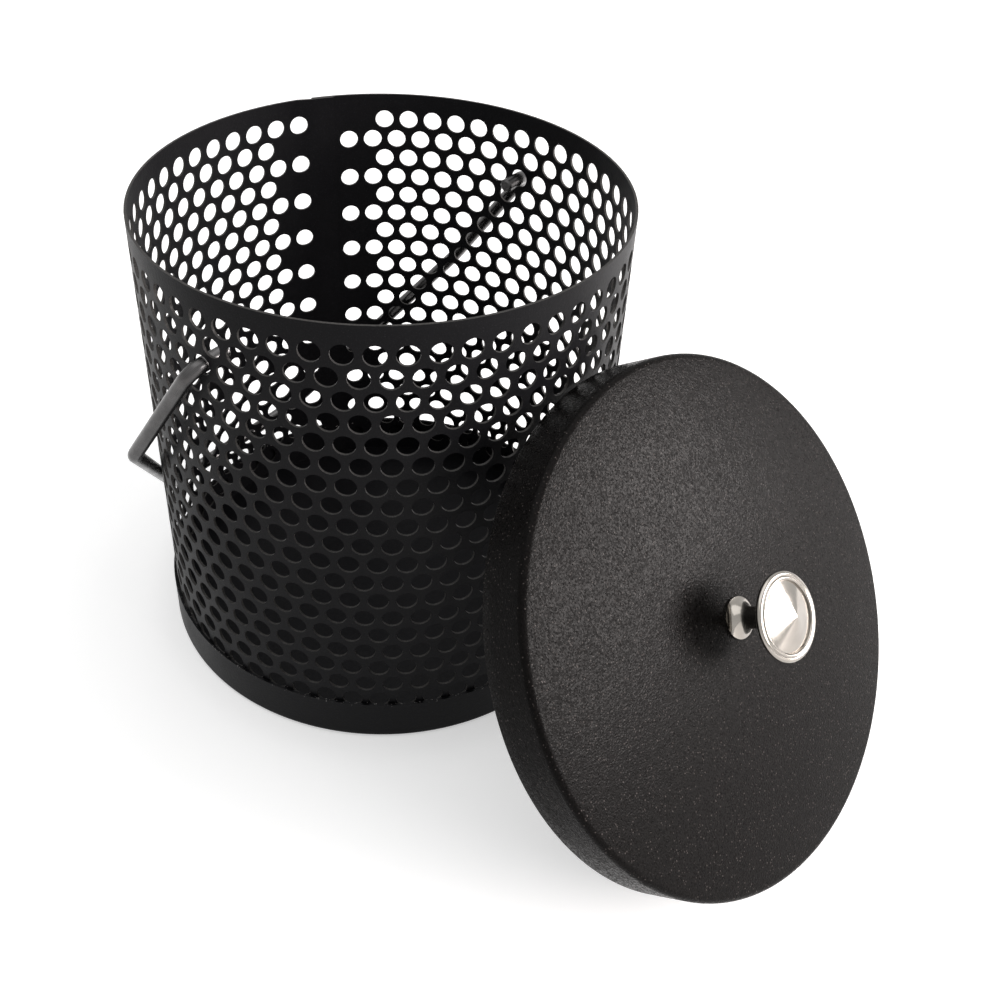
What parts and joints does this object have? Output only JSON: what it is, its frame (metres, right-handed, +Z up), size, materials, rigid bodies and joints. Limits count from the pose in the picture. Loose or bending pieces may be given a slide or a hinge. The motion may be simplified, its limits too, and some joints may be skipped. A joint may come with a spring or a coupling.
{
  "type": "perforated popcorn bucket with lid",
  "caption": "Round perforated steel popcorn bucket with a drawn base pan, a swinging rod bail and a drawn lid with a turned knob.",
  "frame": {"origin": "centre of the base pan's underside, where the bucket stands", "axes": "+Z up along the bucket's axis, +X along the line between the bail's two pivot holes, -Y to the side that the lid leans on"},
  "size_m": [0.2224, 0.3429, 0.2075],
  "materials": {
    "black_coated_steel": "satin black powder coat",
    "lid_coated_steel": "dark charcoal textured powder coat",
    "bare_steel": "drawn rod, dull polish",
    "knob_nickel": "nickel plate, satin polish",
    "screw_steel": "bright zinc plate"
  },
  "bodies": {
    "bucket": {"perforated_wall": "black_coated_steel", "base_pan": "black_coated_steel"},
    "bail": {"bail_handle": "bare_steel"},
    "lid": {"lid_cap": "lid_coated_steel", "knob": "knob_nickel", "knob_screw": "screw_steel"}
  },
  "joints": [
    {"name": "bail_swing", "type": "hinge", "parent": "bucket", "child": "bail", "pos_m": [0, 0.0011, 0.1763], "axis": [1, 0, 0], "range_deg": [0, 242]},
    {"name": "lid_lift", "type": "slide", "parent": "bucket", "child": "lid", "axis": [-0.0617, -0.8015, 0.5948], "range_m": [0, 0.15]}
  ]
}
